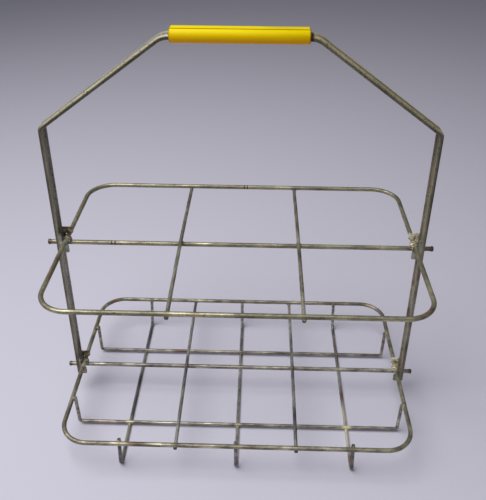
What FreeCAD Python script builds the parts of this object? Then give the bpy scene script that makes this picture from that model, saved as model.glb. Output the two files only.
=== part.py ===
import FreeCAD, Part
import math
import os

# Folding wire carrier for bottles. Two welded wire racks hang on pivot rods between the legs of one
# bent strip handle. Millimetres, +Z up, origin on the floor below the middle of the carrier, with
# X along the racks and -Y towards the person who looks at it.

# Wires and welds
rim_wire = 4.0
cross_wire = 3.2
rod_wire = 4.0
weld_sink = 0.5
weld_gap = 0.02

# Racks, measured between the middles of their rim wires
upper_length = 300.0
upper_width = 196.6
lower_length = 309.0
lower_width = 199.0
rim_corner = 24.0
rack_spacing = 146.4

# Cross wires of the racks
divider_place_share = 0.1695
divider_overhang = 1.5
runner_place_share = 0.3345
rest_place_share = 0.25
rest_drop = 30.2
runner_bend = 6.0
runner_lean = 1.8
rest_bend = 2.6
tip_rise = 2.0
wear_flat = 0.25

# Pivot rods
rod_overhang = 8.4
rod_clearance = 0.08
head_diameter = 4.8
head_length = 1.8
head_bevel = 0.8

# Handle strip: a shallow channel that opens inwards, with a bead pressed along its back
strip_width = 12.7
strip_depth = 3.4
sheet = 1.2
shoulder_round = 1.8
bead_width = 3.2
bead_depth = 0.6
bead_round = 0.5
upper_leg_gap = 2.85
lower_leg_gap = 1.8
leg_below_rod = 7.0
shoulder_rise = 103.9
top_rise = 174.7
top_run = 110.6
shoulder_bend = 3.4
grip_bend = 14.0

# Ears that the flanges of the strip turn inwards at each rod, to hold the rack level
ear_gap = 0.3
ear_height = 6.0
ear_reach = 2.6
prong_reach = 0.4
prong_drop = 8.2
ear_round = 1.4
ear_lap = 0.7

# Grip
grip_length = 100.0
grip_width = 16.0
grip_height = 10.4
grip_lift = 0.6
grip_corner_share = 0.48
grip_end_round = 1.2
grip_fit = 0.1

# One overrun for every cut
overrun = 1.0

# Radii and heights that follow from the sizes above
rim_radius = rim_wire / 2
cross_radius = cross_wire / 2
rod_radius = rod_wire / 2
runner_z = cross_radius - wear_flat
rest_z = runner_z + cross_wire - weld_sink
lower_z = rest_z + rest_drop
upper_z = lower_z + rack_spacing
rod_drop = rim_radius + rod_radius - weld_sink
divider_drop = rim_radius + cross_radius - weld_sink
divider_over_rod = rod_radius + cross_radius - weld_sink - rod_drop
wire_inside_rim = rim_radius + cross_radius - weld_sink

Vector = FreeCAD.Vector
x_way = Vector(1, 0, 0)
y_way = Vector(0, 1, 0)


def rounded_path(points, bends, closed=False):
    """Straight runs through the points; a corner with a bend above zero gets a tangent arc."""
    count = len(points)
    corners = range(count) if closed else range(1, count - 1)
    turns = []
    for corner, bend in zip(corners, bends):
        here = points[corner]
        way_in = (here - points[corner - 1]).normalize()
        way_out = (points[(corner + 1) % count] - here).normalize()
        if bend == 0:
            turns.append((here, None, here))
            continue
        half_turn = way_in.getAngle(way_out) / 2
        set_back = bend * math.tan(half_turn)
        inwards = (way_out - way_in).normalize()
        middle = here + inwards * (bend / math.cos(half_turn) - bend)
        turns.append((here - way_in * set_back, middle, here + way_out * set_back))
    if closed:
        start = (turns[-1][2] + turns[0][0]) / 2
        finish = start
    else:
        start = points[0]
        finish = points[-1]
    edges = []
    place = start
    for enter, middle, leave in turns:
        edges.append(Part.LineSegment(place, enter).toShape())
        if middle:
            edges.append(Part.Arc(enter, middle, leave).toShape())
        place = leave
    edges.append(Part.LineSegment(place, finish).toShape())
    return Part.Wire(edges)


def tube(path, radius):
    """Round wire along a path."""
    first = path.OrderedEdges[0]
    start = first.valueAt(first.FirstParameter)
    way = first.tangentAt(first.FirstParameter)
    section = Part.Wire([Part.Circle(start, way, radius).toShape()])
    return path.makePipeShell([section], True, True)


def straight_wire(start, finish, radius):
    return Part.makeCylinder(radius, (finish - start).Length, start, finish - start)


def rim(length, width, z, radius):
    """Rounded rectangle of wire."""
    x = length / 2
    y = width / 2
    corners = [Vector(x, y, z), Vector(-x, y, z), Vector(-x, -y, z), Vector(x, -y, z)]
    return tube(rounded_path(corners, [rim_corner] * len(corners), closed=True), radius)


def pivot_rod(half_length, z, radius):
    """Rod along X with an upset head at each end."""
    rod = straight_wire(Vector(-half_length, 0, z), Vector(half_length, 0, z), radius)
    for side in (-1, 1):
        end = Vector(side * half_length, 0, z)
        head = Part.makeCylinder(head_diameter / 2, head_length, end, x_way * -side)
        outer_edges = [edge for edge in head.Edges if abs(edge.CenterOfMass.x - end.x) < head_length / 3]
        rod = rod.fuse(head.makeFillet(head_bevel, outer_edges))
    return rod.removeSplitter()


def divider(x, width, z):
    """Cross wire sprung over the pivot rod, with both ends welded under the rim."""
    y = width / 2 + divider_overhang
    low = z - divider_drop
    arch = Part.Arc(Vector(x, -y, low), Vector(x, 0, z + divider_over_rod), Vector(x, y, low))
    return tube(Part.Wire([arch.toShape()]), cross_radius)


def upright_wire(across, base_half, base_z, place, top, bend):
    """U-shaped wire: a level base along one way, with both ends turned up by top."""
    base = Vector(place.x, place.y, base_z)
    ends = [base - across * base_half, base + across * base_half]
    points = [ends[0] + top, ends[0], ends[1], ends[1] + top]
    return tube(rounded_path(points, [bend, bend]), cross_radius)


def seated(wire, carriers):
    """Wire with the hollows that its welds press into it."""
    for carrier in carriers:
        wire = wire.cut(carrier)
    return wire


def strip_line():
    """Corners of the handle's middle line, from the left foot over the top to the right foot."""
    lean = (leg_x_lower - leg_x_upper) / rack_spacing
    shoulder_z = upper_z + shoulder_rise
    foot_z = lower_z - rod_drop - leg_below_rod

    def leg_x(z):
        return leg_x_upper - lean * (z - upper_rod_z)

    right = [Vector(top_run / 2, 0, upper_z + top_rise)]
    right.append(Vector(leg_x(shoulder_z), 0, shoulder_z))
    right.append(Vector(leg_x(foot_z), 0, foot_z))
    return [Vector(-p.x, 0, p.z) for p in reversed(right)] + right


def strip_skin(inset):
    """One face of the channel from back edge to front edge: distance outwards, place across, bend."""
    back = strip_depth / 2 - inset
    side = strip_width / 2 - inset
    half = [(-strip_depth / 2, side, 0), (back, side, shoulder_round - inset)]
    half.append((back, bead_width / 2, bead_round))
    half.append((back - bead_depth, bead_width / 2 - bead_depth, bead_round))
    return half + [(out, -across, bend) for out, across, bend in reversed(half)]


def strip_section(start, way):
    """Channel of even thickness, square to the handle's line at its start."""
    outwards = Vector(-way.z, 0, way.x)
    corners = strip_skin(0) + strip_skin(sheet)[::-1]
    points = [start + outwards * out + y_way * across for out, across, bend in corners]
    return rounded_path(points, [bend for out, across, bend in corners], closed=True)


def flange_plate(side, back, x_inner, x_outer, z_low, z_high):
    """Ear in the plane of the strip's front or back flange, with its inner corners rounded."""
    corners = [Vector(side * x_outer, 0, z_low), Vector(side * x_inner, 0, z_low)]
    corners += [Vector(side * x_inner, 0, z_high), Vector(side * x_outer, 0, z_high)]
    outline = rounded_path(corners, [0, ear_round, ear_round, 0], closed=True)
    face = Part.Face(outline)
    face.translate(y_way * (strip_width / 2 - sheet if back else -strip_width / 2))
    return face.extrude(y_way * sheet)


def handle_strip():
    """Bent channel with its bead, the ears at each rod and the holes for the rods."""
    line = strip_line()
    bends = [bend + strip_depth / 2 for bend in (shoulder_bend, grip_bend, grip_bend, shoulder_bend)]
    section = strip_section(line[0], (line[1] - line[0]).normalize())
    strip = rounded_path(line, bends).makePipeShell([section], True, False)
    pivots = [(upper_length / 2, upper_z, leg_x_upper), (lower_length / 2, lower_z, leg_x_lower)]
    for side in (-1, 1):
        for rail_x, rack_z, leg_x in pivots:
            rail_inside = rail_x - rim_radius
            rail_outside = rail_x + rim_radius + ear_gap
            above = rack_z + rim_radius + ear_gap
            below = rack_z - rim_radius - ear_gap
            top = above + ear_height
            bottom = below - prong_drop
            root = leg_x - ear_lap
            strip = strip.fuse(flange_plate(side, True, rail_inside - ear_reach, root, above, top))
            strip = strip.fuse(flange_plate(side, False, rail_inside - prong_reach, root, bottom, below))
            strip = strip.fuse(flange_plate(side, False, rail_outside, root, below, top))
            strip = strip.fuse(flange_plate(side, True, rail_outside, root, bottom, above))
            rod_z = rack_z - rod_drop
            reach = Vector(side * (leg_x - strip_depth), 0, rod_z)
            hole_end = Vector(side * (leg_x + strip_depth), 0, rod_z)
            strip = strip.cut(straight_wire(reach, hole_end, rod_radius + rod_clearance))
    return strip.removeSplitter()


def grip():
    """Oval moulded grip round the top run of the handle, with more of it above the strip than below."""
    strip_z = upper_z + top_rise
    z = strip_z + grip_lift
    y_half = grip_width / 2
    z_half = grip_height / 2
    x_start = -grip_length / 2
    corners = [(y_half, z_half), (-y_half, z_half), (-y_half, -z_half), (y_half, -z_half)]
    points = [Vector(x_start, y, z + dz) for y, dz in corners]
    outline = rounded_path(points, [grip_corner_share * grip_height] * len(points), closed=True)
    body = Part.Face(outline).extrude(x_way * grip_length)
    end_edges = [edge for edge in body.Edges if edge.BoundBox.XLength < grip_length / 2]
    body = body.makeFillet(grip_end_round, end_edges)
    slot_width = strip_width + 2 * grip_fit
    slot_height = strip_depth + 2 * grip_fit
    slot_corner = Vector(x_start - overrun, -slot_width / 2, strip_z - slot_height / 2)
    return body.cut(Part.makeBox(grip_length + 2 * overrun, slot_width, slot_height, slot_corner))


# Legs of the handle, at the height of each rod
upper_rod_z = upper_z - rod_drop
leg_x_upper = upper_length / 2 + rim_radius + upper_leg_gap + strip_depth / 2
leg_x_lower = lower_length / 2 + rim_radius + lower_leg_gap + strip_depth / 2

pieces = {"handle_strap": handle_strip(), "grip": grip()}

# Each rack: its rim, its rod under the side rails and two dividers over the rod
racks = {
    "upper": (upper_length, upper_width, upper_z, leg_x_upper),
    "lower": (lower_length, lower_width, lower_z, leg_x_lower),
}
for rack, (length, width, z, leg_x) in racks.items():
    rod_z = z - rod_drop
    rod_half = leg_x + strip_depth / 2 + rod_overhang
    rim_seat = rim(length, width, z, rim_radius + weld_gap)
    rod_seat = straight_wire(Vector(-length, 0, rod_z), Vector(length, 0, rod_z), rod_radius + weld_gap)
    pieces[rack + "_rim"] = rim(length, width, z, rim_radius)
    pieces[rack + "_pivot_rod"] = seated(pivot_rod(rod_half, rod_z, rod_radius), [rim_seat])
    for side, name in ((-1, "left"), (1, "right")):
        wire = divider(side * divider_place_share * length, width, z)
        pieces[rack + "_divider_" + name] = seated(wire, [rim_seat, rod_seat])

# Feet and bottle rests of the lower rack
tip_z = lower_z + tip_rise
lower_seat = rim(lower_length, lower_width, lower_z, rim_radius + weld_gap)
runner_half = lower_width / 2 - wire_inside_rim
rest_half = lower_length / 2 - wire_inside_rim
runner_seats = []
for side, name in ((-1, "left"), (0, "centre"), (1, "right")):
    place = Vector(side * runner_place_share * lower_length, 0, 0)
    top = Vector(-side * runner_lean, 0, tip_z - runner_z)
    runner = upright_wire(y_way, runner_half, runner_z, place, top, runner_bend)
    floor = Part.makeBox(cross_wire, lower_width, overrun)
    floor.translate(Vector(place.x - cross_radius, -lower_width / 2, -overrun))
    pieces["runner_" + name] = seated(runner, [lower_seat, floor])
    base = Vector(place.x, runner_half, runner_z)
    runner_seats.append(straight_wire(base, base - y_way * (2 * runner_half), cross_radius + weld_gap))
for side, name in ((-1, "front"), (1, "back")):
    place = Vector(0, side * rest_place_share * lower_width, 0)
    top = Vector(0, 0, tip_z - rest_z)
    rest = upright_wire(x_way, rest_half, rest_z, place, top, rest_bend)
    pieces["bottle_rest_" + name] = seated(rest, [lower_seat] + runner_seats)

os.makedirs("parts", exist_ok=True)
for name, shape in pieces.items():
    box = shape.BoundBox
    print(name, len(shape.Solids), shape.isValid(), round(shape.Volume, 2), "mm3")
    print("   ", [round(v, 2) for v in (box.XMin, box.XMax, box.YMin, box.YMax, box.ZMin, box.ZMax)])
    shape.exportStep("parts/" + name + ".step")
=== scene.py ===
import math

import bmesh
import bpy
from mathutils import Matrix, Vector, noise


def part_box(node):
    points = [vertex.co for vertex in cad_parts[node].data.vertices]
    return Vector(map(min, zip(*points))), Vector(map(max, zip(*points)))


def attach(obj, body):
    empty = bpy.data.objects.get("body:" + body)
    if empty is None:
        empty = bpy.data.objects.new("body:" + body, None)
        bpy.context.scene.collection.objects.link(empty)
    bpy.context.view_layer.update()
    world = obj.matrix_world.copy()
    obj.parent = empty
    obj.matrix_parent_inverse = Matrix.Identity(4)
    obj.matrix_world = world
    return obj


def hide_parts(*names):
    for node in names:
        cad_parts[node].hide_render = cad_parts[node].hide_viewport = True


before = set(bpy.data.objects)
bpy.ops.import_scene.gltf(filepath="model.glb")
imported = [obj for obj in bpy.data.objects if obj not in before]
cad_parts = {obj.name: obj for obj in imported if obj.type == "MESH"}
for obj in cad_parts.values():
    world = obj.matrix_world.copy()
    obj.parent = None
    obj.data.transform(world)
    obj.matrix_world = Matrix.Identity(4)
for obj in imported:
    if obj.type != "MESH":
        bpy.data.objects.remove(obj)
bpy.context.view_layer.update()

mm = 0.001


# a node's lowest and highest corners at rest, in millimetres
def cornersOf(node):
    return [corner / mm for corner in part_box(node)]


def linear(hexColour):
    parts = [int(hexColour[i:i + 2], 16) / 255 for i in (1, 3, 5)]
    return [p / 12.92 if p <= 0.04045 else ((p + 0.055) / 1.055) ** 2.4 for p in parts] + [1.0]


def fillRamp(ramp, stops):
    while len(ramp.elements) < len(stops):
        ramp.elements.new(0.5)  # put in its place below
    for element, (place, colour) in zip(ramp.elements, stops):
        element.position = place
        element.color = linear(colour)


# a source is a socket, or a node whose first live output is meant
def connect(tree, source, socket):
    if isinstance(source, bpy.types.Node):
        source = next(output for output in source.outputs if output.enabled)
    tree.links.new(source, socket)


# settings named like an attribute go on the node, stops fill its colour ramp,
# and all others go to its inputs by name or number
def addNode(tree, kind, settings=None, links=None):
    node = tree.nodes.new(kind)
    for key, value in (settings or {}).items():
        if key == "stops":
            fillRamp(node.color_ramp, value)
        elif isinstance(key, str) and hasattr(node, key):
            setattr(node, key, value)
        else:
            node.inputs[key].default_value = value
    for key, source in (links or {}).items():
        connect(tree, source, node.inputs[key])
    return node


def newMaterial(name):
    material = bpy.data.materials.new(name)
    material.use_nodes = True
    tree = material.node_tree
    return material, tree, tree.nodes["Principled BSDF"]


markCore = 0.4  # share of its reach over which a mark is full


# an edge for maskWhere that closes in on a place from both sides
def around(tree, value, at, reach):
    gap = addNode(tree, "ShaderNodeMath", {"operation": "SUBTRACT", 1: at * mm}, {0: value})
    gap = addNode(tree, "ShaderNodeMath", {"operation": "ABSOLUTE"}, {0: gap})
    return gap, reach, reach * markCore


# a mask that is full where every value has gone from its first place to its second, in millimetres
def maskWhere(tree, *edges):
    mask = None
    for value, first, second in edges:
        edge = addNode(tree, "ShaderNodeMapRange", {"From Min": first * mm, "From Max": second * mm},
                       {"Value": value})
        if mask:
            edge = addNode(tree, "ShaderNodeMath", {"operation": "MULTIPLY"}, {0: mask, 1: edge})
        mask = edge
    return mask


# tints laid over a colour one after another, each where its own mask is full
def layTints(tree, colour, *layers):
    for mask, tint in layers:
        settings = {"data_type": "RGBA"}
        links = {0: mask}
        for key, paint in ((6, colour), (7, tint)):  # the two colours of a mix
            if isinstance(paint, str):
                settings[key] = linear(paint)
            else:
                links[key] = paint
        colour = addNode(tree, "ShaderNodeMix", settings, links)
    return colour


def dress(node, material):
    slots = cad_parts[node].data.materials
    slots.clear()
    slots.append(material)


def addPiece(name, bm, material, body):
    mesh = bpy.data.meshes.new(name)
    bm.to_mesh(mesh)
    bm.free()
    mesh.shade_smooth()
    mesh.materials.append(material)
    piece = bpy.data.objects.new(name, mesh)
    bpy.context.scene.collection.objects.link(piece)
    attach(piece, body)
    return piece


# the photograph's viewpoint, in millimetres and radians
view = {"eye": (14.8, -453.7, 480.6), "yaw": -0.026, "pitch": -0.597, "roll": 0.005,
        "focalPixels": 630.0, "photoHigh": 500, "sensorHigh": 36}


def placeCamera():
    yaw, pitch = view["yaw"], view["pitch"]
    ahead = Vector((math.sin(yaw) * math.cos(pitch), math.cos(yaw) * math.cos(pitch), math.sin(pitch)))
    right = Vector((math.cos(yaw), -math.sin(yaw), 0))
    turn = Matrix((right, right.cross(ahead), -ahead)).transposed()
    turn = turn @ Matrix.Rotation(view["roll"], 3, "Z")
    data = bpy.data.cameras.new("camera")
    data.sensor_fit = "VERTICAL"
    data.sensor_height = view["sensorHigh"]
    data.lens = view["sensorHigh"] * view["focalPixels"] / view["photoHigh"]
    camera = bpy.data.objects.new("camera", data)
    camera.matrix_world = Matrix.Translation(Vector(view["eye"]) * mm) @ turn.to_4x4()
    bpy.context.scene.collection.objects.link(camera)
    bpy.context.scene.camera = camera


# matt card, pale and slightly blue
floorCard = {"side": 6000, "colour": "#cbc8d6", "roughness": 0.9}


def layFloor():
    material, tree, shader = newMaterial("paleFloorCard")
    shader.inputs["Base Color"].default_value = linear(floorCard["colour"])
    shader.inputs["Roughness"].default_value = floorCard["roughness"]
    bm = bmesh.new()
    bmesh.ops.create_grid(bm, x_segments=1, y_segments=1, size=floorCard["side"] / 2 * mm)
    mesh = bpy.data.meshes.new("floor")
    bm.to_mesh(mesh)
    bm.free()
    mesh.materials.append(material)
    floor = bpy.data.objects.new("floor", mesh)
    bpy.context.scene.collection.objects.link(floor)


# one softbox overhead and to the left, and a weak fill from the front
lamps = {
    "overhead": {"at": (-600, -330, 1500), "aim": (-40, -20, 100),
                 "size": 1300, "spread": 120, "watts": 13.6},
    "frontFill": {"at": (-700, -1400, 700), "aim": (0, 0, 150),
                  "size": 900, "spread": 90, "watts": 0.15},
}
sky = {"colour": "#dfe2ea", "strength": 0.17}


def hangLamps():
    for name, lamp in lamps.items():
        data = bpy.data.lights.new(name, "AREA")
        data.size = lamp["size"] * mm
        data.energy = lamp["watts"]
        data.spread = math.radians(lamp["spread"])
        light = bpy.data.objects.new(name, data)
        at = Vector(lamp["at"]) * mm
        light.location = at
        light.rotation_euler = (Vector(lamp["aim"]) * mm - at).to_track_quat("-Z", "Y").to_euler()
        bpy.context.scene.collection.objects.link(light)
    world = bpy.data.worlds.new("studio")
    world.use_nodes = True
    background = world.node_tree.nodes["Background"].inputs
    background["Color"].default_value = linear(sky["colour"])
    background["Strength"].default_value = sky["strength"]
    bpy.context.scene.world = world
    bpy.context.scene.view_settings.view_transform = "Standard"  # keeps the yellow as strong as it is


# thickness of the rims and of the cross wires, and how far wires that cross are pressed into one another
wires = {"rim": 4.0, "cross": 3.2, "pressed": 0.5}
# each weld lies in the middle of such an overlap, but the lower dividers' keep in from the rim's edge,
# and a pivot is a thicker lump where a rod hangs below a side rail
weldPlaces = {"pivotIn": 0.8, "pivotUp": 1.3, "dividerIn": {"upper": 0, "lower": 0.5}, "pastRod": 0.35}


# welds in one quarter of a rack: place, and which way the two wires are pressed together, or pivot
def rackWelds(rack):
    low, high = cornersOf(rack + "_rim")
    dividerX = sum(corner.x for corner in cornersOf(rack + "_divider_right")) / 2
    longRun = high.y - wires["rim"] / 2 - weldPlaces["dividerIn"][rack]
    sideRail = high.x - wires["rim"] / 2
    under = low.z + wires["pressed"] / 2
    return [
        ((dividerX, longRun, under), "z"),
        ((dividerX, 0, under), "z"),
        ((sideRail - weldPlaces["pivotIn"], 0, under + weldPlaces["pivotUp"]), "pivot"),
    ]


# runners and rests are welded inside the lower rim, and to one another where they cross near the floor
def footWelds():
    overlap, wireHalf = wires["pressed"] / 2, wires["cross"] / 2
    rimZ = sum(corner.z for corner in cornersOf("lower_rim")) / 2
    runnerLow, runnerHigh = cornersOf("runner_right")
    restLow, restHigh = cornersOf("bottle_rest_back")
    restY = (restLow.y + restHigh.y) / 2
    # an outer runner leans in from its foot to its tip
    foot, tip = runnerHigh.x - wireHalf, runnerLow.x + wireHalf
    atRim = foot + (tip - foot) * (rimZ - wireHalf) / (runnerHigh.z - wireHalf)
    return [
        ((0, runnerHigh.y - overlap, rimZ), "y"),
        ((atRim, runnerHigh.y - overlap, rimZ), "y"),
        ((restHigh.x - overlap, restY, rimZ), "x"),
        ((0, restY, restLow.z + overlap), "z"),
        ((foot, restY, restLow.z + overlap), "z"),
    ]


# where heat spreads from a rod's swaged end
def rodEnd(rack):
    low, high = cornersOf(rack + "_pivot_rod")
    return high.x + weldPlaces["pastRod"], 0, (low.z + high.z) / 2


# Galvanised wire and strip, drawn and hot dipped, decades old. The zinc has gone dull and olive in patches
# two or three centimetres long that run with the wire, paler where it was rubbed and nearly black where it
# has worn through, with dark specks of a millimetre or two and rust stains here and there. Heat burnt it at
# the welds. Where it is rusted or burnt it shines less.
# Sizes are in millimetres. A range is of the noise, or of the heat's reach, and a share is how much shows.
steelLook = {
    "stops": [(0.30, "#544f41"), (0.45, "#7f7a65"), (0.55, "#9f9a80"), (0.72, "#d2caa7")],
    "patch": 7.0, "stretch": 4.0, "patchRough": 0.66, "rimCorner": (80, 95),
    "grain": 1.8, "speck": "#40392d", "speckRange": (0.55, 0.72), "speckShare": 0.5,
    "blot": 28.0, "stain": "#6f4830", "stainRange": (0.60, 0.70), "stainShare": 0.55,
    "burnt": "#6a583e", "heatReach": 5.0, "heatRange": (0.7, 1.5), "heatShare": 0.42,
    "metallic": 0.72, "crustMetallic": 0.25,
    "roughness": (0.36, 0.56), "dullRange": (0.35, 0.65),
    "pit": 0.9, "pitDeep": 0.15, "pitShare": 0.35,
    "detail": {"patch": 6.0, "grain": 2.0, "blot": 5.0, "pit": 3.0},
}
# the lower rack is greyer than the upper one, and the cross wires have lost their yellow cast
lowerChanges = {"stops": [(0.31, "#4e4a42"), (0.45, "#7e796f"), (0.55, "#a29d8f"), (0.70, "#d6cfbc")],
                "patch": 6.0, "stretch": 3.0}
lowerRimChanges = {"stops": [(0.31, "#4e4a3f"), (0.45, "#7e7969"), (0.55, "#a19c86"), (0.70, "#d5cdb1")],
                   "patch": 6.0, "stretch": 3.0, "roughness": (0.42, 0.58)}
crossChanges = {"stops": [(0.31, "#4b494c"), (0.45, "#827f7c"), (0.55, "#aeaba3"), (0.70, "#e4e1d6")],
                "patch": 6.0, "stretch": 4.0, "speckShare": 0.35, "stain": "#564b40"}
upperCrossStops = [(0.31, "#5a574c"), (0.45, "#888474"), (0.55, "#aeaa96"), (0.70, "#dedac6")]
rackChanges = {
    "upper": {"rim": {}, "rod": {}, "cross": dict(crossChanges, stops=upperCrossStops)},
    "lower": {"rim": lowerRimChanges, "rod": lowerChanges, "cross": crossChanges},
}


# along names the way that the patches run: x, y, round a rim, or down the strip; the last argument lays each
# part's own marks over the colour, with painted shade among them on the strip and the divider tips
def agedSteel(name, along, heated, changes, tintsOver):
    look = dict(steelLook, **changes)
    material, tree, shader = newMaterial(name)
    place = addNode(tree, "ShaderNodeTexCoord").outputs["Object"]
    quarter = addNode(tree, "ShaderNodeVectorMath", {"operation": "ABSOLUTE"}, {0: place})
    noises = {}
    for pattern in ("grain", "blot", "pit"):
        noises[pattern] = addNode(tree, "ShaderNodeTexNoise",
                                  {"Scale": 1 / (look[pattern] * mm), "Detail": look["detail"][pattern]},
                                  {"Vector": place})
    squeeze = 1 / look["stretch"]
    runs = {"x": (squeeze, 1, 1), "y": (1, squeeze, 1), "strip": (squeeze, 1, squeeze)}
    patches = {}
    for way in ("x", "y") if along == "rim" else (along,):
        squeezed = addNode(tree, "ShaderNodeMapping", {"Scale": runs[way]}, {"Vector": place})
        patches[way] = addNode(tree, "ShaderNodeTexNoise",
                               {"Scale": 1 / (look["patch"] * mm), "Detail": look["detail"]["patch"],
                                "Roughness": look["patchRough"]}, {"Vector": squeezed})
    if along == "rim":  # the patches turn with the wire at its corners
        apart = addNode(tree, "ShaderNodeSeparateXYZ", None, {0: quarter}).outputs
        longRun = maskWhere(tree, (apart["Y"], *look["rimCorner"]))
        patch = addNode(tree, "ShaderNodeMix", None, {0: longRun, 2: patches["y"], 3: patches["x"]})
    else:
        patch = patches[along]
    tone = addNode(tree, "ShaderNodeValToRGB", {"stops": look["stops"]}, {"Fac": patch})
    spots = {}
    for spot, pattern in (("speck", "grain"), ("stain", "blot")):
        none, full = look[spot + "Range"]
        spots[spot] = addNode(tree, "ShaderNodeMapRange",
                              {"From Min": none, "From Max": full, "To Max": look[spot + "Share"]},
                              {"Value": noises[pattern]})
    # distance to the nearest heated place, with a ragged edge
    nearest = None
    for hot in heated:
        gap = addNode(tree, "ShaderNodeVectorMath", {"operation": "DISTANCE", 1: Vector(hot) * mm},
                      {0: quarter})
        if nearest:
            gap = addNode(tree, "ShaderNodeMath", {"operation": "MINIMUM"}, {0: nearest, 1: gap})
        nearest = gap
    reach = look["heatReach"] * mm
    ragged = addNode(tree, "ShaderNodeMath", {"operation": "MULTIPLY_ADD", 1: reach},
                     {0: noises["grain"], 2: nearest})
    full, none = look["heatRange"]
    heat = addNode(tree, "ShaderNodeMapRange",
                   {"From Min": reach * full, "From Max": reach * none,
                    "To Min": look["heatShare"], "To Max": 0}, {"Value": ragged})
    colour = layTints(tree, tone, (spots["speck"], look["speck"]), (spots["stain"], look["stain"]),
                      (heat, look["burnt"]))
    connect(tree, tintsOver(tree, place, quarter, colour), shader.inputs["Base Color"])
    shader.inputs["Metallic"].default_value = look["metallic"]
    if look["metallic"] > look["crustMetallic"]:  # the strip is no shinier than its crust
        crust = addNode(tree, "ShaderNodeMath", {"operation": "MAXIMUM"}, {0: heat, 1: spots["stain"]})
        shine = addNode(tree, "ShaderNodeMapRange",
                        {"To Min": look["metallic"], "To Max": look["crustMetallic"]}, {"Value": crust})
        connect(tree, shine, shader.inputs["Metallic"])
    (dark, pale), (smooth, rough) = look["dullRange"], look["roughness"]
    dull = addNode(tree, "ShaderNodeMapRange",
                   {"From Min": dark, "From Max": pale, "To Min": rough, "To Max": smooth}, {"Value": patch})
    connect(tree, dull, shader.inputs["Roughness"])
    bump = addNode(tree, "ShaderNodeBump", {"Strength": look["pitShare"], "Distance": look["pitDeep"] * mm},
                   {"Height": noises["pit"]})
    connect(tree, bump, shader.inputs["Normal"])
    return material


# Side rails are rubbed pale by the ears: tint, place along the rail and reach. The upper rim is butt welded
# near the middle of its back run, with a dark ring on each side of the weld.
rimMarks = {"rubbed": {"left": ("#bdbfa9", -4.5, 6.0), "right": ("#d2c9aa", 0.5, 5.5)}, "railReach": 8.0,
            "rings": {"upper": [1.5, 4.5], "lower": []}, "ringWide": 0.7, "ring": "#3a3226",
            "backRun": (80, 90)}


def rimWear(rack):
    sideRail = cornersOf(rack + "_rim")[1].x - wires["rim"] / 2

    def tintsOver(tree, place, quarter, colour):
        signed = addNode(tree, "ShaderNodeSeparateXYZ", None, {0: place}).outputs
        for side, (pale, at, reach) in rimMarks["rubbed"].items():
            rail = -sideRail if side == "left" else sideRail
            rubbed = maskWhere(tree, around(tree, signed["Y"], at, reach),
                               around(tree, signed["X"], rail, rimMarks["railReach"]))
            colour = layTints(tree, colour, (rubbed, pale))
        for ring in rimMarks["rings"][rack]:
            ringed = maskWhere(tree, around(tree, signed["X"], ring, rimMarks["ringWide"]),
                               (signed["Y"], *rimMarks["backRun"]))
            colour = layTints(tree, colour, (ringed, rimMarks["ring"]))
        return colour
    return tintsOver


# rods rust at their ends, and the upper one was nicked twice
rodMarks = {"rust": "#5f4c3f", "rustReach": 6.0, "rustFull": 1.0,
            "nicks": {"upper": [-111.0, -108.0], "lower": []}, "nickWide": 0.8, "nick": "#3a3226"}


def rodWear(rack):
    end = cornersOf(rack + "_pivot_rod")[1].x

    def tintsOver(tree, place, quarter, colour):
        apart = addNode(tree, "ShaderNodeSeparateXYZ", None, {0: quarter}).outputs
        signed = addNode(tree, "ShaderNodeSeparateXYZ", None, {0: place}).outputs
        rusted = maskWhere(tree, (apart["X"], end - rodMarks["rustReach"], end - rodMarks["rustFull"]))
        colour = layTints(tree, colour, (rusted, rodMarks["rust"]))
        for nick in rodMarks["nicks"][rack]:
            nicked = maskWhere(tree, around(tree, signed["X"], nick, rodMarks["nickWide"]))
            colour = layTints(tree, colour, (nicked, rodMarks["nick"]))
        return colour
    return tintsOver


# bands across the other wires, each a tint, its place along the wire, its reach and its share;
# each runner aged in its own way
runnerMarks = {
    "left": [("#463c42", 72.0, 26.0, 0.45), ("#443a40", -4.0, 36.0, 0.6), ("#b4b098", -56.0, 18.0, 0.6),
             ("#3a362f", -97.0, 16.0, 0.6)],
    "centre": [("#b4b098", -50.0, 7.0, 0.4), ("#4d4b46", -98.0, 10.0, 0.25)],
    "right": [("#8a6a5e", 62.0, 9.0, 0.6), ("#806c60", 38.0, 9.0, 0.5), ("#8a6156", -9.0, 9.0, 0.55),
              ("#e6e0c8", -34.0, 15.0, 0.75), ("#ece6d0", -60.0, 17.0, 0.9), ("#8a5f38", -85.0, 7.0, 0.7),
              ("#3d3a36", -98.0, 8.0, 0.6)],
}
# weld crust spread over the front rest where it crosses the runners, and its left end rusted
restMarks = {
    "front": [("#7d6152", -128.0, 17.0, 0.45), ("#d8d0aa", -103.4, 5.0, 0.6), ("#cfc8a6", 0.0, 4.0, 0.5),
              ("#f0e4b4", 103.4, 5.5, 0.9)],
    "back": [],
}
# painted shade: the cut tips of the dividers in front, below the front rim, are darkened
tipShadeMarks = [("#35343a", -101.5, 4.0, 0.8)]


def bandTints(bands, way):
    def tintsOver(tree, place, quarter, colour):
        signed = addNode(tree, "ShaderNodeSeparateXYZ", None, {0: place}).outputs
        for tint, at, reach, share in bands:
            band = maskWhere(tree, around(tree, signed[way], at, reach))
            faint = addNode(tree, "ShaderNodeMath", {"operation": "MULTIPLY", 1: share}, {0: band})
            colour = layTints(tree, colour, (faint, tint))
        return colour
    return tintsOver


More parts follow.
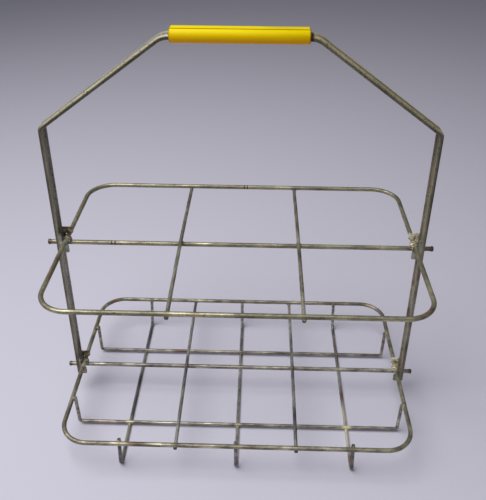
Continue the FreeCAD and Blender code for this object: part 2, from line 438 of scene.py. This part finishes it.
# middle line of the strip's right half, from foot to grip, its section, where one look gives way to the
# next (either side of its middle, up its height and across its faces), and where the rods go through
stripShape = {
    "corners": [(160.0, 30.75), (154.02, 284.55), (55.3, 355.35), (0, 355.35)],
    "bendBlend": 4.0, "deep": 3.4, "wide": 12.7, "sheet": 1.2, "grooveWide": 3.0,
    "halves": 5.0, "upperRack": (170, 200), "shoulder": (280, 288),
    "soft": 0.3, "crest": (0.3, 0.8), "brim": (0.2, 1.2), "earsIn": (0.2, 0.7), "earsApart": 2.0,
    "pivots": [(155, 0, 178), (158, 0, 32)],
}
# the strip is duller than the wires
stripChanges = {
    "metallic": 0.25, "roughness": (0.42, 0.62), "patch": 4.0, "stretch": 7.0, "grain": 1.6,
    "speckShare": 0.85, "burnt": "#a39a80", "heatReach": 12.0,
    "stops": [(0.30, "#8b877a"), (0.44, "#b5b1a4"), (0.56, "#cbc7ba"), (0.70, "#e8e5d8")],
}
# tints of its zinc on each face of the strip, with painted light and shade: the flanges darken from inside
# to outside as painted shade, with a painted highlight along the slopes' inner edge and painted light on the
# right leg's lower flange; the channel is painted lighter on the left leg than on the right, the legs above
# the upper rack get a painted shade, the top face is paler on the left and yellower on the right and darker
# in the groove, and painted shade lies where the strip runs into the grip
stripTints = {
    "topLeft": "#e2e0d2", "topRight": "#e2d8b2", "groove": "#554f41",
    "channelLitLeft": "#ffffff", "channelLitRight": "#d8d5ca",
    "legHighLeft": "#e2e0dc", "legHighRight": "#ece9e4",
    "flanges": {
        "leg": [(0.0, "#cac6b7"), (0.35, "#a09b8b"), (0.6, "#847f70"), (0.95, "#55503f")],
        "legLowRight": [(0.0, "#c4c0b6"), (0.35, "#a39e94"), (0.6, "#a5a094"), (0.95, "#b4afa0")],
        "slopeLeft": [(0.0, "#b9bcae"), (0.14, "#6c675a"), (0.52, "#6c675a"), (0.72, "#d5d0be")],
        "slopeRight": [(0.0, "#c4c6b6"), (0.14, "#8e887a"), (0.52, "#8e887a"), (0.72, "#ddd8c6")],
    },
    "gripJointShade": "#2e2116", "gripJointShadeAt": 50.5, "gripJointShadeReach": 2.6,
}
# the ears are grey in front; behind they are rusty on the left and crusted pale gold on the right, and those
# are painted lighter still, as painted light where they sit in shade
earLook = {
    "crumb": 4.5, "detail": 4.0,
    "tones": {
        "frontLeft": [(0.36, "#65665b"), (0.5, "#8e8f7f"), (0.64, "#b4b5a3")],
        "frontRight": [(0.36, "#4e4e45"), (0.5, "#737366"), (0.64, "#9b9b8a")],
        "backLeft": [(0.36, "#59493a"), (0.5, "#8d785c"), (0.62, "#d2c4a6")],
        "backRightCrustAndLight": [(0.37, "#6e6448"), (0.47, "#cfc7a6"), (0.6, "#f1ecdb")],
    },
}


# how far a spot lies outside the middle line of the strip
def stripOut(tree, quarter):
    corners = [Vector((x, 0, z)) for x, z in stripShape["corners"]]
    reach = None
    for low, high in zip(corners, corners[1:]):
        way = (high - low).normalized()
        outwards = Vector((way.z, 0, -way.x))
        along = addNode(tree, "ShaderNodeVectorMath",
                        {"operation": "DOT_PRODUCT", 1: outwards}, {0: quarter})
        gap = addNode(tree, "ShaderNodeMath",
                      {"operation": "SUBTRACT", 1: outwards.dot(low) * mm}, {0: along})
        if reach:
            gap = addNode(tree, "ShaderNodeMath",
                          {"operation": "SMOOTH_MAX", 2: stripShape["bendBlend"] * mm}, {0: reach, 1: gap})
        reach = gap
    return reach


# the strip's own marks and its ears, together with painted light and shade on its flanges, channel, upper
# legs and at the grip
def stripWearAndShade(tree, place, quarter, colour):
    half, side, groove = (stripShape[size] / 2 for size in ("deep", "wide", "grooveWide"))
    inner, soft = side - stripShape["sheet"], stripShape["soft"]
    out = stripOut(tree, quarter)
    apart = addNode(tree, "ShaderNodeSeparateXYZ", None, {0: quarter}).outputs
    signed = addNode(tree, "ShaderNodeSeparateXYZ", None, {0: place}).outputs
    # edges of the strip's stretches
    right = (signed["X"], -stripShape["halves"], stripShape["halves"])
    slope = (apart["Z"], *stripShape["shoulder"])
    leg = (apart["Z"], *reversed(stripShape["shoulder"]))
    legHigh = (apart["Z"], *stripShape["upperRack"])
    legLow = (apart["Z"], *reversed(stripShape["upperRack"]))
    # edges of its faces
    onFlange = (apart["Y"], inner, inner + soft)
    onBack = (out, *(half * share for share in stripShape["crest"]))
    inGroove = (apart["Y"], groove + soft, groove - soft)
    insideBrim = (apart["Y"], *(side - gap for gap in stripShape["brim"]))
    onEar = (out, *(-half - gap for gap in stripShape["earsIn"]))
    earBehind = (signed["Y"], -stripShape["earsApart"], stripShape["earsApart"])

    onRight, across = maskWhere(tree, right), maskWhere(tree, (out, -half, half))
    # painted shade: the flanges darken from inside to outside, with a painted highlight along the slopes'
    # inner edge and painted light on the right leg's lower flange
    flanges = {name: addNode(tree, "ShaderNodeValToRGB", {"stops": stops}, {"Fac": across})
               for name, stops in stripTints["flanges"].items()}
    slopeFlangeShade = layTints(tree, flanges["slopeLeft"], (onRight, flanges["slopeRight"]))
    flange = layTints(tree, flanges["leg"], (maskWhere(tree, right, legLow), flanges["legLowRight"]),
                      (maskWhere(tree, slope), slopeFlangeShade))
    # painted light: the inside of the channel is kept lighter on the left leg than on the right
    channelLight = layTints(tree, stripTints["channelLitLeft"], (onRight, stripTints["channelLitRight"]))
    top = layTints(tree, stripTints["topLeft"], (onRight, stripTints["topRight"]))
    tint = layTints(tree, channelLight, (maskWhere(tree, onFlange), flange),
                    (maskWhere(tree, onBack, insideBrim), top),
                    (maskWhere(tree, onBack, inGroove), stripTints["groove"]))
    wornAndShaded = addNode(tree, "ShaderNodeMix", {"data_type": "RGBA", "blend_type": "MULTIPLY", 0: 1.0},
                   {6: colour, 7: tint})
    shade = layTints(tree, stripTints["legHighLeft"], (onRight, stripTints["legHighRight"]))
    wornAndShaded = addNode(tree, "ShaderNodeMix", {"data_type": "RGBA", "blend_type": "MULTIPLY"},
                   {0: maskWhere(tree, legHigh, leg), 6: wornAndShaded, 7: shade})
    # painted shade on the strip where it runs into the grip
    gripEnd = around(tree, signed["X"], stripTints["gripJointShadeAt"], stripTints["gripJointShadeReach"])

    crumbs = addNode(tree, "ShaderNodeTexNoise",
                     {"Scale": 1 / (earLook["crumb"] * mm), "Detail": earLook["detail"]}, {"Vector": place})
    ears = {name: addNode(tree, "ShaderNodeValToRGB", {"stops": stops}, {"Fac": crumbs})
            for name, stops in earLook["tones"].items()}
    ahead = layTints(tree, ears["frontLeft"], (onRight, ears["frontRight"]))
    behind = layTints(tree, ears["backLeft"], (onRight, ears["backRightCrustAndLight"]))
    ear = layTints(tree, ahead, (maskWhere(tree, earBehind), behind))
    return layTints(tree, wornAndShaded, (maskWhere(tree, gripEnd, slope), stripTints["gripJointShade"]),
                    (maskWhere(tree, onEar), ear))


# a lump's half sizes, how far it swells and how fast that changes; tones by side of the rack, and the front
# rest's welds on the runners, near the floor, are crusted like those on the right
weldLump = {
    "across": 2.2, "through": 1.5, "pivot": (3.4, 4.0, 3.4), "swell": 0.45, "ripple": 0.7,
    "scale": 1.8, "detail": 4.0, "metallic": 0.4, "roughness": 0.6, "bump": 0.5, "bumpDeep": 0.2,
    "outerX": (140, 145), "crustReach": 10.0, "crustLow": (12, 8),
    "tones": {
        "common": [(0.32, "#463f33"), (0.5, "#7b725c"), (0.68, "#b8ad8c")],
        "left": [(0.34, "#5d5644"), (0.5, "#99917a"), (0.64, "#d3ceb8")],
        "right": [(0.38, "#6d6142"), (0.50, "#bdb390"), (0.64, "#e4decb")],
    },
}


# steel that the weld has melted and scaled: straw and brown, rough and dull
def weldSteel():
    material, tree, shader = newMaterial("scaledWeldSteel")
    place = addNode(tree, "ShaderNodeTexCoord").outputs["Object"]
    crust = addNode(tree, "ShaderNodeTexNoise",
                    {"Scale": 1 / (weldLump["scale"] * mm), "Detail": weldLump["detail"]}, {"Vector": place})
    tones = {name: addNode(tree, "ShaderNodeValToRGB", {"stops": stops}, {"Fac": crust})
             for name, stops in weldLump["tones"].items()}
    signed = addNode(tree, "ShaderNodeSeparateXYZ", None, {0: place}).outputs
    frontRest = sum(corner.y for corner in cornersOf("bottle_rest_front")) / 2
    onLeft = maskWhere(tree, (signed["X"], *(-x for x in weldLump["outerX"])))
    onRight = maskWhere(tree, (signed["X"], *weldLump["outerX"]))
    crusted = maskWhere(tree, around(tree, signed["Y"], frontRest, weldLump["crustReach"]),
                        (signed["Z"], *weldLump["crustLow"]))
    colour = layTints(tree, tones["common"], (onLeft, tones["left"]), (onRight, tones["right"]),
                      (crusted, tones["right"]))
    connect(tree, colour, shader.inputs["Base Color"])
    shader.inputs["Metallic"].default_value = weldLump["metallic"]
    shader.inputs["Roughness"].default_value = weldLump["roughness"]
    bump = addNode(tree, "ShaderNodeBump",
                   {"Strength": weldLump["bump"], "Distance": weldLump["bumpDeep"] * mm}, {"Height": crust})
    connect(tree, bump, shader.inputs["Normal"])
    return material


def layWelds(name, welds, body, material):
    bm = bmesh.new()
    for (x, y, z), way in welds:
        if way == "pivot":
            size = Vector(weldLump["pivot"])
        else:
            size = Vector((weldLump["across"],) * 3)
            size["xyz".index(way)] = weldLump["through"]
        for sideX in ((-1, 1) if x else (1,)):
            for sideY in ((-1, 1) if y else (1,)):
                lump = bmesh.ops.create_icosphere(bm, subdivisions=3, radius=1.0)["verts"]
                at = Vector((x * sideX, y * sideY, z))
                for vert in lump:
                    spot = vert.co * size
                    swell = noise.noise((at + spot) * weldLump["ripple"]) * weldLump["swell"]
                    vert.co = (at + spot + vert.co * swell) * mm
    addPiece(name, bm, material, body)


# moulded sleeve over the top run, with the seam that the mould left along its upper front
gripLow, gripHigh = cornersOf("grip")
gripShape = {
    "middle": (gripLow + gripHigh) / 2, "size": gripHigh - gripLow,
    "corner": 4.99, "cornerSegments": 10, "sharpFrom": 32,
    "endRound": 1.2, "endSegments": 5, "endFacing": 0.5,
    "slotWide": 12.9, "slotHigh": 3.6, "slotCorner": 1.4, "slotSegments": 4, "slotDrop": 0.6, "slotRim": 0.5,
    "seamAt": -3.9, "seamWide": 1.0, "seamDeep": 0.4, "seamFit": 0.001,
}


def outlineLoop(bm, wide, high, corner, segments):
    square = bmesh.ops.create_grid(bm, x_segments=1, y_segments=1, size=0.5)["verts"]
    bmesh.ops.scale(bm, vec=(wide, high, 1), verts=square)
    bmesh.ops.bevel(bm, geom=square, offset=corner, segments=segments, profile=0.5, affect="VERTICES",
                    material=-1)


def shapeGrip(material):
    grip = gripShape
    gripLong, gripWide, gripTall = grip["size"]
    bm = bmesh.new()
    outlineLoop(bm, gripWide, gripTall, grip["corner"], grip["cornerSegments"])
    outerVerts = set(bm.verts)
    outlineLoop(bm, grip["slotWide"], grip["slotHigh"], grip["slotCorner"], grip["slotSegments"])
    slotVerts = [vert for vert in bm.verts if vert not in outerVerts]
    bmesh.ops.translate(bm, vec=(0, -grip["slotDrop"], 0), verts=slotVerts)
    bmesh.ops.delete(bm, geom=bm.faces[:], context="FACES_ONLY")
    bmesh.ops.bridge_loops(bm, edges=bm.edges[:])
    run = bmesh.ops.extrude_face_region(bm, geom=bm.faces[:])["geom"]
    far = [part for part in run if isinstance(part, bmesh.types.BMVert)]
    bmesh.ops.translate(bm, vec=(0, 0, gripLong), verts=far)
    bmesh.ops.translate(bm, vec=(0, 0, -gripLong / 2), verts=bm.verts[:])
    bmesh.ops.recalc_face_normals(bm, faces=bm.faces[:])
    # the width turns to y, the height to z and the length to x
    bmesh.ops.transform(bm, matrix=Matrix(((0, 0, 1), (1, 0, 0), (0, 1, 0))).to_4x4(), verts=bm.verts[:])
    # the outer edges of both ends are rounded, not those of the slot
    rims = []
    for edge in bm.edges:
        middle = (edge.verts[0].co + edge.verts[1].co) / 2
        beside = abs(middle.y) - grip["slotWide"] / 2
        above = abs(middle.z + grip["slotDrop"]) - grip["slotHigh"] / 2
        endFaces = [face for face in edge.link_faces if abs(face.normal.x) > grip["endFacing"]]
        if max(beside, above) > grip["slotRim"] and len(endFaces) == 1:
            rims.append(edge)
    bmesh.ops.bevel(bm, geom=rims, offset=grip["endRound"], segments=grip["endSegments"], profile=0.5,
                    affect="EDGES", material=-1)
    for shift in (-grip["seamWide"] / 2, 0, grip["seamWide"] / 2):
        bmesh.ops.bisect_plane(bm, geom=bm.verts[:] + bm.edges[:] + bm.faces[:], dist=0.0001,
                               plane_co=(0, grip["seamAt"] + shift, 0), plane_no=(0, 1, 0))
    # the middle cut sinks, on the upper side only
    for vert in bm.verts:
        if abs(vert.co.y - grip["seamAt"]) < grip["seamFit"] and vert.co.z > gripTall / 4:
            vert.co.z -= grip["seamDeep"]
    bmesh.ops.translate(bm, vec=grip["middle"], verts=bm.verts[:])
    bmesh.ops.scale(bm, vec=(mm, mm, mm), verts=bm.verts[:])
    piece = addPiece("moulded_grip", bm, material, "handle")
    piece.data.set_sharp_from_angle(angle=math.radians(grip["sharpFrom"]))
    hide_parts("grip")


# Polythene, injection moulded: even and waxy, with painted light that makes it paler yellow on top and
# deeper orange below, with hand dirt rubbed along it, grime in the seam and round both ends, and fine
# scratches that dull the gloss.
plasticLook = {
    "paintedTopLight": [(0.1, "#f4a800"), (0.55, "#eac000"), (0.95, "#e6d000")],
    "dirt": "#946800", "smear": 18.0, "smearDetail": 6.0, "smearRange": (0.5, 0.75), "smearShare": 0.35,
    "stretch": 4.0, "seamGrime": 0.7, "seamAbove": 1.0, "endGrime": 1.4,
    "scratch": 1.2, "scratchDetail": 3.0, "scratchDeep": 0.1, "scratchShare": 0.12,
    "roughness": (0.2, 0.5), "refraction": 1.5, "specular": 0.08,
}


def yellowPlastic():
    look = plasticLook
    material, tree, shader = newMaterial("mouldedYellowPolythene")
    place = addNode(tree, "ShaderNodeTexCoord").outputs["Object"]
    signed = addNode(tree, "ShaderNodeSeparateXYZ", None, {0: place}).outputs
    middle, endX = gripShape["middle"].z, gripShape["size"].x / 2
    height = maskWhere(tree, (signed["Z"], gripLow.z, gripHigh.z))
    # painted light: paler yellow towards the top, deeper orange towards the bottom
    paintedTopLight = addNode(tree, "ShaderNodeValToRGB", {"stops": look["paintedTopLight"]}, {"Fac": height})
    squeezed = addNode(tree, "ShaderNodeMapping", {"Scale": (1 / look["stretch"], 1, 1)}, {"Vector": place})
    noises = {}
    for pattern in ("smear", "scratch"):
        noises[pattern] = addNode(tree, "ShaderNodeTexNoise",
                                  {"Scale": 1 / (look[pattern] * mm), "Detail": look[pattern + "Detail"]},
                                  {"Vector": squeezed})
    none, full = look["smearRange"]
    smeared = addNode(tree, "ShaderNodeMapRange",
                      {"From Min": none, "From Max": full, "To Max": look["smearShare"]},
                      {"Value": noises["smear"]})
    seamReach = gripShape["seamWide"] * look["seamGrime"]
    inSeam = maskWhere(tree, around(tree, signed["Y"], gripShape["seamAt"], seamReach),
                       (signed["Z"], middle, middle + look["seamAbove"]))
    farOut = addNode(tree, "ShaderNodeMath", {"operation": "ABSOLUTE"}, {0: signed["X"]})
    atEnd = maskWhere(tree, (farOut, endX - look["endGrime"], endX))
    grime = addNode(tree, "ShaderNodeMath", {"operation": "MAXIMUM"}, {0: inSeam, 1: atEnd})
    colour = layTints(tree, paintedTopLight, (smeared, look["dirt"]), (grime, look["dirt"]))
    connect(tree, colour, shader.inputs["Base Color"])
    smooth, rough = look["roughness"]
    gloss = addNode(tree, "ShaderNodeMapRange", {"To Min": smooth, "To Max": rough},
                    {"Value": noises["scratch"]})
    connect(tree, gloss, shader.inputs["Roughness"])
    shader.inputs["IOR"].default_value = look["refraction"]
    shader.inputs["Specular IOR Level"].default_value = look["specular"]
    bump = addNode(tree, "ShaderNodeBump",
                   {"Strength": look["scratchShare"], "Distance": look["scratchDeep"] * mm},
                   {"Height": noises["scratch"]})
    connect(tree, bump, shader.inputs["Normal"])
    return material


placeCamera()
print("camera placed")
layFloor()
hangLamps()
print("floor and lamps set")

welds = {"upper": rackWelds("upper"), "lower": rackWelds("lower") + footWelds()}
heated = {rack: [place for place, way in welds[rack]] + [rodEnd(rack)] for rack in welds}
for rack, changes in rackChanges.items():
    rim = agedSteel(rack + "GalvanisedRim", "rim", heated[rack], changes["rim"], rimWear(rack))
    dress(rack + "_rim", rim)
    rod = agedSteel(rack + "GalvanisedRod", "x", heated[rack], changes["rod"], rodWear(rack))
    dress(rack + "_pivot_rod", rod)
    crossWire = agedSteel(rack + "GalvanisedCrossWire", "y", heated[rack], changes["cross"],
                          bandTints(tipShadeMarks, "Y"))
    for side in ("left", "right"):
        dress(rack + "_divider_" + side, crossWire)
for side, marks in runnerMarks.items():
    runner = agedSteel(side + "GalvanisedRunner", "y", heated["lower"], crossChanges, bandTints(marks, "Y"))
    dress("runner_" + side, runner)
for side, marks in restMarks.items():
    rest = agedSteel(side + "GalvanisedRest", "x", heated["lower"], lowerChanges, bandTints(marks, "X"))
    dress("bottle_rest_" + side, rest)
strip = agedSteel("galvanisedStrip", "strip", stripShape["pivots"], stripChanges, stripWearAndShade)
dress("handle_strap", strip)
print("wires and strip dressed")
weldScale = weldSteel()
layWelds("upper_rack_welds", welds["upper"], "upper_rack", weldScale)
layWelds("lower_rack_welds", welds["lower"], "lower_rack", weldScale)
print("welds laid")
shapeGrip(yellowPlastic())
print("grip moulded")
